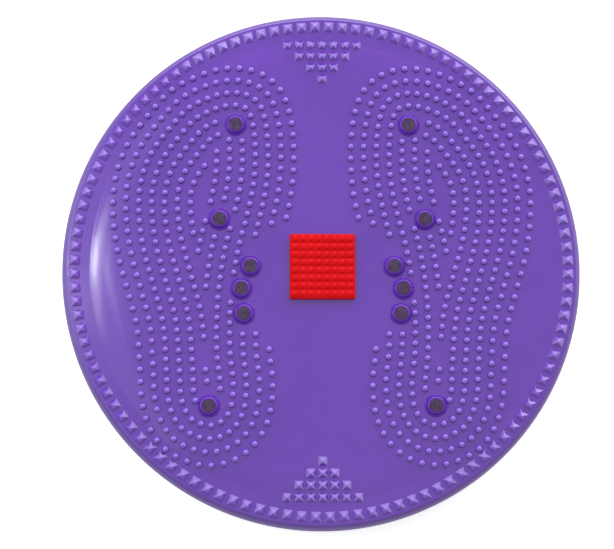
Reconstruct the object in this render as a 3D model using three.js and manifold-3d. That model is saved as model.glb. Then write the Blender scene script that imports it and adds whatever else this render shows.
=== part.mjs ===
// Waist twisting disc: a moulded top with two fields of foot nubs, which turns on a ring of
// steel balls over a moulded base. Millimetres, +Z up. The origin is on the floor below the
// pivot, and the toes of the two foot fields point towards +Y.

import * as THREE from 'three';
import { mergeGeometries, mergeVertices } from 'three/addons/utils/BufferGeometryUtils.js';
import Module from 'manifold-3d';

const wasm = await Module();
wasm.setup();

// Fits that several pieces share.
const looseFit = 0.3;
const cutOverrun = 1;
const weldDistance = 0.00001;
const roundSides = 20;
const smallSides = 10;
const discSides = 60;
const raceSides = 48;

// The moulded top.
const discDiameter = 300;
const plateThickness = 3;
const skirtDepth = 14;
const skirtWall = 2.5;
const lipWidth = 4.5;
const rimBandWidth = 12;
const shoulderWidth = 8;
const shoulderDrop = 1.1;
const lipStraight = 2.2;
const topRibCount = 8;
const topRibThickness = 2;
const topRibDepth = 4.5;

// Points of the rounded lip, as shares of the lip's width and of its height.
const lipShares = [[0.62, 0.24], [0.9, 0.6], [1, 1]];

// The ring of teeth near the rim.
const toothCount = 112;
const toothInset = 4;
const toothLength = 5.8;
const toothWidth = 5;
const toothHeight = 2.2;

// The foot fields.
const footLength = 228.8;
const footWidth = 103.6;
const footSpread = 136.6;
const footForward = 1.9;
const nubDiameter = 4.2;
const nubHeight = 2.2;
const nubSides = 3;
const rowPitch = 7.4;
const rowSteps = [7.0, 6.5, 5.8];
const nubLeastStep = 4.7;
const fillLeastStep = 5.4;
const nubMagnetStep = 7.8;
const outlineStep = 0.8;
const rootDepth = 0.5;

// The outline of a sole: across from the sole's middle towards the disc's middle, as shares of
// half the width, and along towards the toes, as shares of half the length.
const soleShares = [
  [0.39, 1], [0.66, 0.965], [0.86, 0.88], [0.965, 0.74], [1, 0.56], [0.975, 0.37],
  [0.9, 0.2], [0.8, 0.02], [0.735, -0.2], [0.73, -0.42], [0.77, -0.61], [0.72, -0.78],
  [0.57, -0.9], [0.35, -0.973], [0.08, -1], [-0.19, -0.973], [-0.43, -0.905], [-0.58, -0.8],
  [-0.655, -0.68], [-0.675, -0.54], [-0.72, -0.31], [-0.81, -0.16], [-0.94, 0.055],
  [-1, 0.26], [-0.985, 0.42], [-0.86, 0.6], [-0.57, 0.79], [-0.36, 0.89], [-0.13, 0.95],
  [0.12, 0.99],
];

// The bare patch under the arch, an ellipse: its centre and half axes in the same shares.
const archCentreShare = [0.971, -0.104];
const archReachShare = [0.598, 0.297];

// The magnets of one sole, in the same shares.
const magnetShares = [
  [0.351, 0.708], [0.176, 0.225], [0.523, -0.013], [0.423, -0.125], [0.452, -0.25],
  [0.077, -0.708],
];
const magnetDiameter = 10;
const magnetHeight = 4;
const magnetProud = 2.2;
const collarWall = 1.5;
const collarHeight = 0.9;

// The arrowheads of square pyramids at toe and heel.
const arrowReach = 130.3;
const arrowRows = [7, 5, 3, 1];
const arrowPitch = 6.7;
const pyramidSize = 5.3;
const pyramidHeight = 2.2;

// The studded cap over the pivot.
const capSize = 37.4;
const capWall = 2;
const capRise = 2.2;
const capTop = 1.7;
const studRows = 8;
const studGap = 0.3;
const studHeight = 1.5;

// The ball race.
const raceRadius = 83;
const raceWidth = 16;
const ballDiameter = 8;
const ballCount = 24;
const raceSeat = 5.2;
const upperRaceSeat = 4.7;
const grooveSteps = 4;
const cageThickness = 2.4;
const cageMargin = 1;

// The pivot.
const boltDiameter = 8;
const hexAcross = 13;
const boltHeadHeight = 4.2;
const boltTail = 0.6;
const boltHeadroom = 0.5;
const nutHeight = 5;
const washerThickness = 1.5;
const topWasherDiameter = 24;
const bottomWasherDiameter = 20;
const sleeveWall = 1.7;
const hubWall = 5.5;
const pocketWall = 2;
const pocketFloor = 2.5;

// The moulded base.
const baseInset = 9;
const baseFloor = 2.5;
const baseWall = 2.5;
const baseWallHeight = 8;
const hubPlate = 2.5;
const cupWall = 2.5;
const cupGap = 6;
const channelWall = 3;
const baseRibCount = 8;
const baseRibThickness = 2;
const baseRibHeight = 4.5;

// The rubber feet.
const footStand = 3;
const padCount = 6;
const padDiameter = 22;
const padSeat = 1;
const padTaper = 1;
const padInset = 14;

// Radii and heights worked out from the sizes above.
const discRadius = discDiameter / 2;
const bandOuter = discRadius - lipWidth;
const bandInner = bandOuter - rimBandWidth;
const toothRing = bandOuter - toothInset;
const fieldRadius = bandInner - shoulderWidth;
const baseRadius = discRadius - baseInset;
const ballRadius = ballDiameter / 2;
const grooveRadius = ballRadius + looseFit;
const raceInner = raceRadius - raceWidth / 2;
const raceOuter = raceRadius + raceWidth / 2;
const boltHole = boltDiameter / 2 + looseFit;
const sleeveRadius = boltHole + sleeveWall;
const hubBore = sleeveRadius + looseFit;
const hubRadius = hubBore + hubWall;
const cupRadius = bottomWasherDiameter / 2 + cupGap;
const pocketSize = capSize + 2 * looseFit;

const baseTop = footStand + baseFloor;
const ballLevel = baseTop + raceSeat + grooveRadius;
const plateUnder = ballLevel + grooveRadius + upperRaceSeat;
const plateTop = plateUnder + plateThickness;
const skirtBottom = plateTop - skirtDepth;
const bandLevel = plateTop - shoulderDrop;
const landGap = cageThickness / 2 + 2 * looseFit;

const boltHeadLow = footStand + looseFit;
const bottomWasherLow = boltHeadLow + boltHeadHeight;
const cupCeiling = bottomWasherLow + washerThickness;
const hubLevel = cupCeiling + hubPlate;
const capFace = plateTop + capRise;
const capCeiling = capFace - capTop;
const boltEnd = capCeiling - boltHeadroom;
const nutTop = boltEnd - boltTail;
const nutLow = nutTop - nutHeight;
const topWasherLow = nutLow - washerThickness;
const pocketLevel = topWasherLow - looseFit;

// Finishes.
const violetPlastic = new THREE.MeshStandardMaterial({ color: 0x7551b3, roughness: 0.3, metalness: 0 });
const redPlastic = new THREE.MeshStandardMaterial({ color: 0xd5161b, roughness: 0.45, metalness: 0 });
const ferrite = new THREE.MeshStandardMaterial({ color: 0x5d4b5c, roughness: 0.7, metalness: 0.1 });
const blackPlastic = new THREE.MeshStandardMaterial({ color: 0x2a2730, roughness: 0.5, metalness: 0 });
const cagePlastic = new THREE.MeshStandardMaterial({ color: 0xe6e3da, roughness: 0.5, metalness: 0 });
const ballSteel = new THREE.MeshStandardMaterial({ color: 0xc8cacd, roughness: 0.15, metalness: 1 });
const zincSteel = new THREE.MeshStandardMaterial({ color: 0xa9adb2, roughness: 0.35, metalness: 1 });
const blackRubber = new THREE.MeshStandardMaterial({ color: 0x1c1c1e, roughness: 0.9, metalness: 0 });

// A closed solid from a geometry, with its shared corners joined and empty triangles dropped.
function solidOf(geometry) {
  const bare = geometry.clone();
  bare.deleteAttribute('normal');
  bare.deleteAttribute('uv');
  const welded = mergeVertices(bare, weldDistance);
  const corners = welded.index.array;
  const kept = [];
  for (let i = 0; i < corners.length; i += 3) {
    const [a, b, c] = [corners[i], corners[i + 1], corners[i + 2]];
    if (a !== b && b !== c && c !== a) {
      kept.push(a, b, c);
    }
  }
  const mesh = new wasm.Mesh({
    numProp: 3,
    vertProperties: new Float32Array(welded.attributes.position.array),
    triVerts: new Uint32Array(kept),
  });
  return new wasm.Manifold(mesh);
}

// A geometry from a closed solid.
function geometryOf(solid) {
  const mesh = solid.getMesh();
  const geometry = new THREE.BufferGeometry();
  geometry.setAttribute('position', new THREE.BufferAttribute(mesh.vertProperties, 3));
  geometry.setIndex(new THREE.BufferAttribute(mesh.triVerts, 1));
  geometry.computeVertexNormals();
  return geometry;
}

// A solid turned about Z from [radius, height] points, listed either way round.
function turned(points, sides) {
  let twiceArea = 0;
  points.forEach(([x, y], i) => {
    const [nextX, nextY] = points[(i + 1) % points.length];
    twiceArea += x * nextY - nextX * y;
  });
  const profile = points.map(([x, y]) => new THREE.Vector2(x, y));
  if (twiceArea < 0) {
    profile.reverse();
  }
  const touchesAxis = profile.some((point) => point.x === 0);
  if (touchesAxis) {
    const onAxis = (point) => point.x === 0;
    while (!(onAxis(profile[0]) && onAxis(profile[profile.length - 1]))) {
      profile.push(profile.shift());
    }
  } else {
    profile.push(profile[0].clone());
  }
  const lathe = new THREE.LatheGeometry(profile, sides);
  lathe.rotateX(Math.PI / 2);
  return solidOf(lathe);
}

// An upright prism or cylinder between two heights.
function post(radius, low, high, sides, x = 0, y = 0, turn = 0) {
  const shape = new THREE.CylinderGeometry(radius, radius, high - low, sides);
  shape.rotateX(Math.PI / 2);
  shape.rotateZ(turn);
  shape.translate(x, y, (low + high) / 2);
  return solidOf(shape);
}

// A cutter whose flats, not its corners, lie at the radius.
function hole(radius, low, high, sides, x = 0, y = 0) {
  return post(radius / Math.cos(Math.PI / sides), low, high, sides, x, y);
}

// A square block centred on the axis.
function block(size, low, high) {
  const shape = new THREE.BoxGeometry(size, size, high - low);
  shape.translate(0, 0, (low + high) / 2);
  return solidOf(shape);
}

// Upright ribs that run out from the axis between two radii.
function ribs(count, thickness, inner, outer, low, high) {
  const parts = [];
  for (let i = 0; i < count; i += 1) {
    const rib = new THREE.BoxGeometry(outer - inner, thickness, high - low);
    rib.translate((inner + outer) / 2, 0, (low + high) / 2);
    rib.rotateZ(((i + 0.5) * 2 * Math.PI) / count);
    parts.push(rib);
  }
  return solidOf(mergeGeometries(parts));
}

// A pointed nub: a pyramid with its foot sunk a little below the height that it stands at.
function spike(across, along, height, sides, x, y, level, turn) {
  const grown = (height + rootDepth) / height;
  const shape = new THREE.ConeGeometry(Math.SQRT1_2, height + rootDepth, sides);
  shape.rotateX(Math.PI / 2);
  shape.rotateZ(Math.PI / sides);
  shape.scale(across * grown, along * grown, 1);
  shape.rotateZ(turn);
  shape.translate(x, y, level + (height - rootDepth) / 2);
  return shape;
}

// Height of the top's upper face: flat, then a gentle slope to the band of teeth.
function faceLevel(x, y) {
  const share = (Math.hypot(x, y) - fieldRadius) / shoulderWidth;
  return plateTop - shoulderDrop * Math.min(Math.max(share, 0), 1);
}

// The closed outline of a sole about its own middle.
function soleOutline() {
  const points = soleShares.map(([across, along]) => new THREE.Vector3(
    (across * footWidth) / 2,
    (along * footLength) / 2,
    0,
  ));
  const curve = new THREE.CatmullRomCurve3(points, true, 'centripetal');
  const count = Math.round(curve.getLength() / outlineStep);
  curve.arcLengthDivisions = 4 * count;
  curve.updateArcLengths();
  return curve.getSpacedPoints(count).slice(0, count);
}

// Least distance from a point to a list of points.
function clearOf(point, others) {
  return others.reduce((least, other) => Math.min(least, point.distanceTo(other)), Infinity);
}

// Splits a row of points where it jumps, and joins its two ends where they meet.
function unbrokenRuns(points) {
  const jump = 4 * outlineStep;
  const runs = [[points[0]]];
  for (let i = 1; i < points.length; i += 1) {
    if (points[i].distanceTo(points[i - 1]) > jump) {
      runs.push([]);
    }
    runs[runs.length - 1].push(points[i]);
  }
  const meets = points[0].distanceTo(points[points.length - 1]) < jump;
  if (meets && runs.length > 1) {
    runs[0] = runs.pop().concat(runs[0]);
  } else if (meets) {
    runs[0].push(points[0]);
  }
  return runs;
}

// Points at an even step along one run.
function evenSteps(run, step) {
  const reach = [0];
  for (let i = 1; i < run.length; i += 1) {
    reach.push(reach[i - 1] + run[i].distanceTo(run[i - 1]));
  }
  const total = reach[reach.length - 1];
  const count = Math.max(1, Math.round(total / step));
  const points = [];
  let at = 1;
  for (let i = 0; i < count; i += 1) {
    const wanted = (i * total) / count;
    while (at < run.length - 1 && reach[at] < wanted) {
      at += 1;
    }
    const share = total > 0 ? (wanted - reach[at - 1]) / (reach[at] - reach[at - 1]) : 0;
    points.push(run[at - 1].clone().lerp(run[at], share));
  }
  return points;
}

// The line that lies a set distance inside a sole's outline.
function insetLine(outline, inset) {
  const count = outline.length;
  const line = outline.map((point, i) => {
    const ahead = outline[(i + 1) % count];
    const behind = outline[(i + count - 1) % count];
    const inward = new THREE.Vector3(ahead.y - behind.y, behind.x - ahead.x, 0).normalize();
    return point.clone().addScaledVector(inward, inset);
  });
  return line.filter((point) => clearOf(point, outline) > inset - outlineStep / 4);
}

// True where a sole's nub may stand: clear of its magnets and of the bare patch at the arch.
function nubMayStand(point, magnets) {
  const across = (2 * point.x) / footWidth - archCentreShare[0];
  const along = (2 * point.y) / footLength - archCentreShare[1];
  const inPatch = Math.hypot(across / archReachShare[0], along / archReachShare[1]) < 1;
  return !inPatch && clearOf(point, magnets) > nubMagnetStep;
}

// The nubs of one sole: rows that follow the outline, then single nubs in the gaps left inside.
function soleNubs(magnets) {
  const outline = soleOutline();
  const nubs = [];
  const addRow = (inset, step, least) => {
    const line = insetLine(outline, inset);
    if (line.length > 1) {
      for (const run of unbrokenRuns(line)) {
        for (const point of run.length > 1 ? evenSteps(run, step) : run) {
          if (clearOf(point, nubs) > least) {
            nubs.push(point);
          }
        }
      }
    }
  };
  const rows = Math.floor(footWidth / 2 / rowPitch) + 1;
  for (let row = 0; row < rows; row += 1) {
    addRow(row * rowPitch, rowSteps[Math.min(row, rowSteps.length - 1)], nubLeastStep);
  }
  for (let row = 2; row < rows; row += 1) {
    addRow((row + 0.5) * rowPitch, outlineStep, fillLeastStep);
  }
  return nubs.filter((point) => nubMayStand(point, magnets));
}

const soleMagnets = magnetShares.map(([across, along]) => new THREE.Vector3(
  (across * footWidth) / 2,
  (along * footLength) / 2,
  0,
));

// Places in a sole's own frame, moved to the left and the right foot.
function onBothFeet(points) {
  const left = points.map(({ x, y }) => [x - footSpread / 2, y + footForward]);
  const right = points.map(({ x, y }) => [footSpread / 2 - x, y + footForward]);
  return { left, right };
}

const magnetPlaces = onBothFeet(soleMagnets);

// True where a raised point stands wholly on the flat face: inside the teeth and off the pocket.
function standsOnFace(x, y, size) {
  const offPocket = Math.max(Math.abs(x), Math.abs(y)) - size > pocketSize / 2;
  return offPocket && Math.hypot(x, y) + size < toothRing - toothLength / 2;
}

// Every raised point of the top's face but the magnets' collars.
function facePoints() {
  const shapes = [];
  const places = onBothFeet(soleNubs(soleMagnets));
  const nubAcross = nubDiameter * Math.SQRT1_2;
  for (const [x, y] of [...places.left, ...places.right]) {
    if (standsOnFace(x, y, nubDiameter / 2) && Math.abs(x) > nubDiameter) {
      shapes.push(spike(nubAcross, nubAcross, nubHeight, nubSides, x, y, faceLevel(x, y), 0));
    }
  }
  for (let i = 0; i < toothCount; i += 1) {
    const turn = ((i + 0.5) * 2 * Math.PI) / toothCount;
    const x = toothRing * Math.cos(turn);
    const y = toothRing * Math.sin(turn);
    shapes.push(spike(toothLength, toothWidth, toothHeight, 4, x, y, bandLevel, turn));
  }
  for (const end of [1, -1]) {
    arrowRows.forEach((count, row) => {
      const y = end * (arrowReach - row * arrowPitch);
      for (let i = 0; i < count; i += 1) {
        const x = (i - (count - 1) / 2) * arrowPitch;
        if (standsOnFace(x, y, pyramidSize / 2)) {
          shapes.push(spike(pyramidSize, pyramidSize, pyramidHeight, 4, x, y, faceLevel(x, y), 0));
        }
      }
    });
  }
  return solidOf(mergeGeometries(shapes));
}

// Half of the race groove, from one land to the other, below or above the balls.
function groovePoints(side) {
  const start = Math.asin(landGap / grooveRadius);
  const points = [];
  for (let i = 0; i <= grooveSteps; i += 1) {
    const angle = start + (i / grooveSteps) * (Math.PI - 2 * start);
    points.push([
      raceRadius + grooveRadius * Math.cos(angle),
      ballLevel + side * grooveRadius * Math.sin(angle),
    ]);
  }
  return points;
}

function topPlate() {
  const lipHeight = bandLevel - skirtBottom - lipStraight;
  const lip = lipShares.map(([across, down]) => [
    bandOuter + across * lipWidth,
    bandLevel - down * lipHeight,
  ]);
  const envelope = turned([
    [0, plateTop],
    [fieldRadius, plateTop],
    [bandInner, bandLevel],
    [bandOuter, bandLevel],
    ...lip,
    [discRadius, skirtBottom],
    [0, skirtBottom],
  ], discSides);
  const hollowRadius = discRadius - skirtWall;
  const hollowCorner = bandLevel - plateThickness - skirtWall;
  const hollow = turned([
    [0, plateUnder],
    [fieldRadius, plateUnder],
    [bandOuter, bandLevel - plateThickness],
    [hollowRadius, hollowCorner],
    [hollowRadius, skirtBottom - cutOverrun],
    [0, skirtBottom - cutOverrun],
  ], discSides);
  const race = turned([
    [raceInner, plateUnder + rootDepth],
    [raceInner, ballLevel + landGap],
    ...groovePoints(1).reverse(),
    [raceOuter, ballLevel + landGap],
    [raceOuter, plateUnder + rootDepth],
  ], raceSides);
  const pocketBlock = block(pocketSize + 2 * pocketWall, pocketLevel - pocketFloor, plateUnder + rootDepth);
  const hub = post(hubRadius, hubLevel + looseFit, pocketLevel - rootDepth, roundSides);
  const ribLow = plateUnder - topRibDepth;
  const outerRibs = ribs(topRibCount, topRibThickness, raceRadius + grooveRadius, discRadius, ribLow, plateTop);
  const innerRibs = ribs(
    topRibCount, topRibThickness, pocketSize / 2, raceRadius - grooveRadius, ribLow, plateTop,
  );
  let plate = envelope.subtract(hollow)
    .add(outerRibs.intersect(envelope))
    .add(innerRibs.intersect(envelope))
    .add(race)
    .add(pocketBlock)
    .add(hub)
    .subtract(block(pocketSize, pocketLevel, plateTop + cutOverrun))
    .subtract(hole(hubBore, hubLevel, plateTop, roundSides))
    .add(facePoints());
  const magnetHole = magnetDiameter / 2 + looseFit;
  const magnetLow = plateTop + magnetProud - magnetHeight;
  for (const [x, y] of [...magnetPlaces.left, ...magnetPlaces.right]) {
    const collarTop = plateTop + collarHeight;
    const collar = post(magnetHole + collarWall, magnetLow, collarTop, smallSides, x, y);
    const pocket = hole(magnetHole, magnetLow, collarTop + cutOverrun, smallSides, x, y);
    plate = plate.add(collar).subtract(pocket);
  }
  return plate;
}

function pivotCap() {
  const hollowSize = capSize - 2 * capWall;
  const studPitch = capSize / studRows;
  const studSize = studPitch - studGap;
  const grown = (studHeight + rootDepth) / studHeight;
  const studs = [];
  for (let row = 0; row < studRows; row += 1) {
    for (let column = 0; column < studRows; column += 1) {
      const x = (column - (studRows - 1) / 2) * studPitch;
      const y = (row - (studRows - 1) / 2) * studPitch;
      studs.push(spike(studSize / grown, studSize / grown, studHeight, 4, x, y, capFace, 0));
    }
  }
  return block(capSize, pocketLevel, capFace)
    .subtract(block(hollowSize, pocketLevel - cutOverrun, capCeiling))
    .add(solidOf(mergeGeometries(studs)));
}

function basePlate() {
  const padRing = baseRadius - baseWall - padInset;
  const landLevel = ballLevel - landGap;
  const floorEdge = footStand + baseWallHeight;
  const shell = turned([
    [0, cupCeiling],
    [cupRadius, cupCeiling],
    [cupRadius, footStand],
    [raceInner + channelWall, footStand],
    [raceInner + channelWall, ballLevel - grooveRadius - channelWall],
    [raceOuter - channelWall, ballLevel - grooveRadius - channelWall],
    [raceOuter - channelWall, footStand],
    [baseRadius, footStand],
    [baseRadius, floorEdge],
    [baseRadius - baseWall, floorEdge],
    [baseRadius - baseWall, baseTop],
    [raceOuter, baseTop],
    [raceOuter, landLevel],
    ...groovePoints(-1),
    [raceInner, landLevel],
    [raceInner, baseTop],
    [cupRadius + cupWall, baseTop],
    [cupRadius + cupWall, hubLevel],
    [0, hubLevel],
  ], raceSides);
  const ribTop = baseTop + baseRibHeight;
  let base = shell
    .add(ribs(baseRibCount, baseRibThickness, cupRadius, raceInner + rootDepth, baseTop - rootDepth, ribTop))
    .add(ribs(
      baseRibCount, baseRibThickness, raceOuter - rootDepth, baseRadius - baseWall / 2,
      baseTop - rootDepth, ribTop,
    ))
    .subtract(hole(boltHole, cupCeiling - cutOverrun, hubLevel + cutOverrun, roundSides));
  for (const [x, y] of ringPlaces(padCount, padRing, 0.5)) {
    const seat = hole(padDiameter / 2 + looseFit, footStand - cutOverrun, footStand + padSeat, smallSides, x, y);
    base = base.subtract(seat);
  }
  return base;
}

function ballCage() {
  const half = cageThickness / 2;
  const inner = raceInner + cageMargin;
  const outer = raceOuter - cageMargin;
  let cage = turned([
    [inner, ballLevel - half],
    [outer, ballLevel - half],
    [outer, ballLevel + half],
    [inner, ballLevel + half],
  ], raceSides);
  for (const [x, y] of ringPlaces(ballCount, raceRadius, 0)) {
    cage = cage.subtract(hole(
      grooveRadius, ballLevel - half - cutOverrun, ballLevel + half + cutOverrun, smallSides, x, y,
    ));
  }
  return cage;
}

// Evenly spaced places on a circle, the first one a share of a step past +X.
function ringPlaces(count, radius, startShare) {
  const places = [];
  for (let i = 0; i < count; i += 1) {
    const angle = ((i + startShare) * 2 * Math.PI) / count;
    places.push([radius * Math.cos(angle), radius * Math.sin(angle)]);
  }
  return places;
}

function hexBar(low, high) {
  return post(hexAcross / 2 / Math.cos(Math.PI / 6), low, high, 6);
}

function pivotBolt() {
  return hexBar(boltHeadLow, bottomWasherLow)
    .add(post(boltDiameter / 2, bottomWasherLow - rootDepth, boltEnd, roundSides));
}

function ring(outerRadius, innerRadius, low, high) {
  return post(outerRadius, low, high, roundSides)
    .subtract(hole(innerRadius, low - cutOverrun, high + cutOverrun, roundSides));
}

// A round rubber pad with a rounded lower edge.
function rubberPad() {
  const radius = padDiameter / 2;
  return turned([
    [0, 0],
    [radius - padTaper, 0],
    [radius, padTaper],
    [radius, footStand + padSeat],
    [0, footStand + padSeat],
  ], smallSides * 2);
}

const disc = new THREE.Group();

function addPiece(name, solid, material, x = 0, y = 0, z = 0, parent = disc) {
  const piece = new THREE.Mesh(geometryOf(solid), material.clone());
  piece.name = name;
  piece.position.set(x, y, z);
  parent.add(piece);
}

addPiece('top_plate', topPlate(), violetPlastic);
addPiece('pivot_cap', pivotCap(), redPlastic);

const magnet = post(magnetDiameter / 2, 0, magnetHeight, smallSides);
for (const side of ['left', 'right']) {
  magnetPlaces[side].forEach(([x, y], i) => {
    const level = plateTop + magnetProud - magnetHeight;
    addPiece(`${side}_magnet_${i + 1}`, magnet, ferrite, x, y, level);
  });
}

addPiece('ball_cage', ballCage(), cagePlastic);

const ball = solidOf(new THREE.IcosahedronGeometry(ballRadius, 1));
ringPlaces(ballCount, raceRadius, 0).forEach(([x, y], i) => {
  addPiece(`bearing_ball_${i + 1}`, ball, ballSteel, x, y, ballLevel);
});

addPiece('base_plate', basePlate(), blackPlastic);
addPiece('pivot_bolt', pivotBolt(), zincSteel);
addPiece('pivot_sleeve', ring(sleeveRadius, boltHole, hubLevel, topWasherLow), zincSteel);
addPiece('bottom_washer', ring(bottomWasherDiameter / 2, boltHole, bottomWasherLow, cupCeiling), zincSteel);
addPiece('top_washer', ring(topWasherDiameter / 2, boltHole, topWasherLow, nutLow), zincSteel);
addPiece(
  'lock_nut',
  hexBar(nutLow, nutTop).subtract(hole(boltHole, nutLow - cutOverrun, nutTop + cutOverrun, roundSides)),
  zincSteel,
);

const pad = rubberPad();
ringPlaces(padCount, baseRadius - baseWall - padInset, 0.5).forEach(([x, y], i) => {
  addPiece(`rubber_foot_${i + 1}`, pad, blackRubber, x, y);
});

export default disc;
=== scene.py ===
# %% [markdown]
# # A waist twisting disc
# The real object is a violet disc for two bare feet. Its moulded top turns on a ring of steel
# balls over a black base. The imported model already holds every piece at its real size, so
# this lesson only dresses it: it works out finer surfaces and finishes round that frame.

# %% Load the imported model
import math

import bmesh
import bpy
import numpy as np
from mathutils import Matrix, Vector


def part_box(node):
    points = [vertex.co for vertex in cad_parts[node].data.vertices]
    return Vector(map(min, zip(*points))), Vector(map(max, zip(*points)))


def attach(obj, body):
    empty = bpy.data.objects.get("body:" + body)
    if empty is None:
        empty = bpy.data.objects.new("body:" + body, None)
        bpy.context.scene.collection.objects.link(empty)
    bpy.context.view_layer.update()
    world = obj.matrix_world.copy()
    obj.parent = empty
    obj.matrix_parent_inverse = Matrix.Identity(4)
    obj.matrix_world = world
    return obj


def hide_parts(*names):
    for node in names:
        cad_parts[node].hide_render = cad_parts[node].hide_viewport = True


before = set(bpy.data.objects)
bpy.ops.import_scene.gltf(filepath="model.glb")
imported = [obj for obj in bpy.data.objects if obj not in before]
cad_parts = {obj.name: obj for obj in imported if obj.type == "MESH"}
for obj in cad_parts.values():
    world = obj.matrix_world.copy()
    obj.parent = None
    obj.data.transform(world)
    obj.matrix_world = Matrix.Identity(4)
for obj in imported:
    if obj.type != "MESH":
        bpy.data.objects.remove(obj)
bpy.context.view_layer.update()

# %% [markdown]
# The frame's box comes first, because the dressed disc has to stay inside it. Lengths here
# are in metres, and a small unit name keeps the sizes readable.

MM = 0.001


def box(node):
    """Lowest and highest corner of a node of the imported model, as arrays."""
    low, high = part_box(node)
    return np.array(low), np.array(high)


def middles(nodes):
    """Where each node stands, seen from above."""
    return {name: sum(box(name))[:2] / 2 for name in nodes}


plate_high = box("top_plate")[1]
magnet_low, magnet_high = box("left_magnet_1")
ball_low, ball_high = box("bearing_ball_1")
base_low, base_high = box("base_plate")
cap_low, cap_high = box("pivot_cap")

# %% [markdown]
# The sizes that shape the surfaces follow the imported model. What its boxes tell directly is
# read from them, and the rest repeats the model's own named sizes, but for two: the rim's
# band is 0.7 mm wider here, and the shoulder falls over 14.8 mm, because a smooth curve needs
# more room than the single facet of 8 mm that stands for it in the model.

# %% Sizes of the disc
disc_radius = plate_high[0]
magnet_proud = 2.2 * MM
plate_thickness = 3 * MM
skirt_depth = 14 * MM
skirt_wall = 2.5 * MM
lip_width = 4.5 * MM
lip_straight = 2.2 * MM
band_width = 12.7 * MM
shoulder_width = 14.8 * MM
shoulder_drop = 1.1 * MM
tooth_inset = 4 * MM
loose_fit = 0.3 * MM

face_level = magnet_high[2] - magnet_proud
plate_under = face_level - plate_thickness
band_level = face_level - shoulder_drop
skirt_bottom = face_level - skirt_depth
band_outer = disc_radius - lip_width
band_inner = band_outer - band_width
field_radius = band_inner - shoulder_width

ball_level = (ball_low[2] + ball_high[2]) / 2
ball_radius = 4 * MM
race_radius = (ball_low[0] + ball_high[0]) / 2
race_half = 8 * MM
groove_radius = ball_radius + loose_fit
land_gap = 1.8 * MM
print("face at", round(face_level / MM, 2), "mm, balls at", round(ball_level / MM, 2), "mm")

# %% [markdown]
# The photograph looks down on the disc from about 0.8 m away, a few degrees off the plumb
# line towards the heels and a little to the left, so more of the lower rim shows there. A
# small lens shift places the disc's middle where the photograph has it.

# %% Camera
PHOTO_WIDTH, PHOTO_HEIGHT = 614, 549
DISC_MIDDLE_X, DISC_MIDDLE_Y = 322.4, 266.9
camera_distance = 0.8
tilt_to_heels = math.radians(6.9)
tilt_to_left = math.radians(1.4)
camera_roll = math.radians(-0.13)
focal_pixels = 1396.6

camera_data = bpy.data.cameras.new("photo_camera")
camera_data.sensor_width = 36
camera_data.lens = focal_pixels / PHOTO_WIDTH * camera_data.sensor_width
camera_data.shift_x = (PHOTO_WIDTH / 2 - DISC_MIDDLE_X) / PHOTO_WIDTH
camera_data.shift_y = (DISC_MIDDLE_Y - PHOTO_HEIGHT / 2) / PHOTO_WIDTH
camera = bpy.data.objects.new("photo_camera", camera_data)
camera.rotation_euler = (tilt_to_heels, -tilt_to_left, 0)
camera.rotation_euler.rotate_axis("Z", camera_roll)
away = camera.rotation_euler.to_matrix().col[2]
camera.location = Vector((0, 0, face_level)) + away * camera_distance
bpy.context.scene.collection.objects.link(camera)
bpy.context.scene.camera = camera
print("lens of", round(camera_data.lens, 1), "mm")

# %% [markdown]
# ## Grids and meshes
# Almost every piece is turned on a lathe or is a close cousin of a turned shape, so one grid
# does most of the work: levels along a profile, and steps round the axis. A profile that
# ends on the axis is closed there by joining the doubled corners.

# %% Grids and meshes
same_place = MM / 10000
sharp_degrees = 32


def turn_grid(radius, height, steps):
    """Points at (radius cos t, radius sin t, height) for each level and each turn t.

    The radius is one value for each level, or one for each level and step."""
    turn = np.linspace(0, 2 * np.pi, steps, endpoint=False)
    radius = np.asarray(radius, float).reshape(len(height), -1)
    across = radius * np.cos(turn)
    along = radius * np.sin(turn)
    up = np.broadcast_to(np.asarray(height, float)[:, None], across.shape)
    return np.stack([across, along, up], axis=-1)


def grid_quads(levels, steps, loop=False):
    """Four corners a side: each level's row of corners meets the next level's row."""
    level = np.arange(levels if loop else levels - 1)[:, None]
    step = np.arange(steps)[None, :]
    here = level * steps
    above = (level + 1) % levels * steps
    following = (step + 1) % steps
    corners = [here + step, here + following, above + following, above + step]
    return np.stack(corners, axis=-1).reshape(-1, 4)


def new_piece(name, points, quads, sharp=sharp_degrees):
    """A mesh object at the origin, with doubled corners joined and sharp edges by angle."""
    mesh = bpy.data.meshes.new(name)
    mesh.from_pydata(points.reshape(-1, 3).tolist(), [], quads.tolist())
    shape = bmesh.new()
    shape.from_mesh(mesh)
    bmesh.ops.remove_doubles(shape, verts=shape.verts, dist=same_place)
    shape.to_mesh(mesh)
    shape.free()
    mesh.shade_smooth()
    mesh.set_sharp_from_angle(angle=math.radians(sharp))
    piece = bpy.data.objects.new(name, mesh)
    bpy.context.scene.collection.objects.link(piece)
    return piece


def turned(name, profile, steps, centre=(0, 0, 0), loop=False, sharp=sharp_degrees):
    """A piece turned from [radius, height] pairs that run anticlockwise round its section."""
    profile = np.asarray(profile, float)
    points = turn_grid(profile[:, 0], profile[:, 1], steps) + np.asarray(centre)
    return new_piece(name, points, grid_quads(len(profile), steps, loop), sharp)


def arc(middle_x, middle_y, radius_x, radius_y, start, end, count):
    """Points of an ellipse's arc between two angles in degrees."""
    angle = np.radians(np.linspace(start, end, count))
    return np.stack([middle_x + radius_x * np.cos(angle), middle_y + radius_y * np.sin(angle)], -1)


def finish_piece(piece, material, body, slot, *replaced):
    """Gives a piece its finish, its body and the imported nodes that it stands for."""
    piece.data.materials.clear()
    piece.data.materials.append(material)
    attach(piece, body)
    if replaced:
        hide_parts(*replaced)
    print(piece.name, len(piece.data.polygons), "faces")
    return piece


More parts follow.
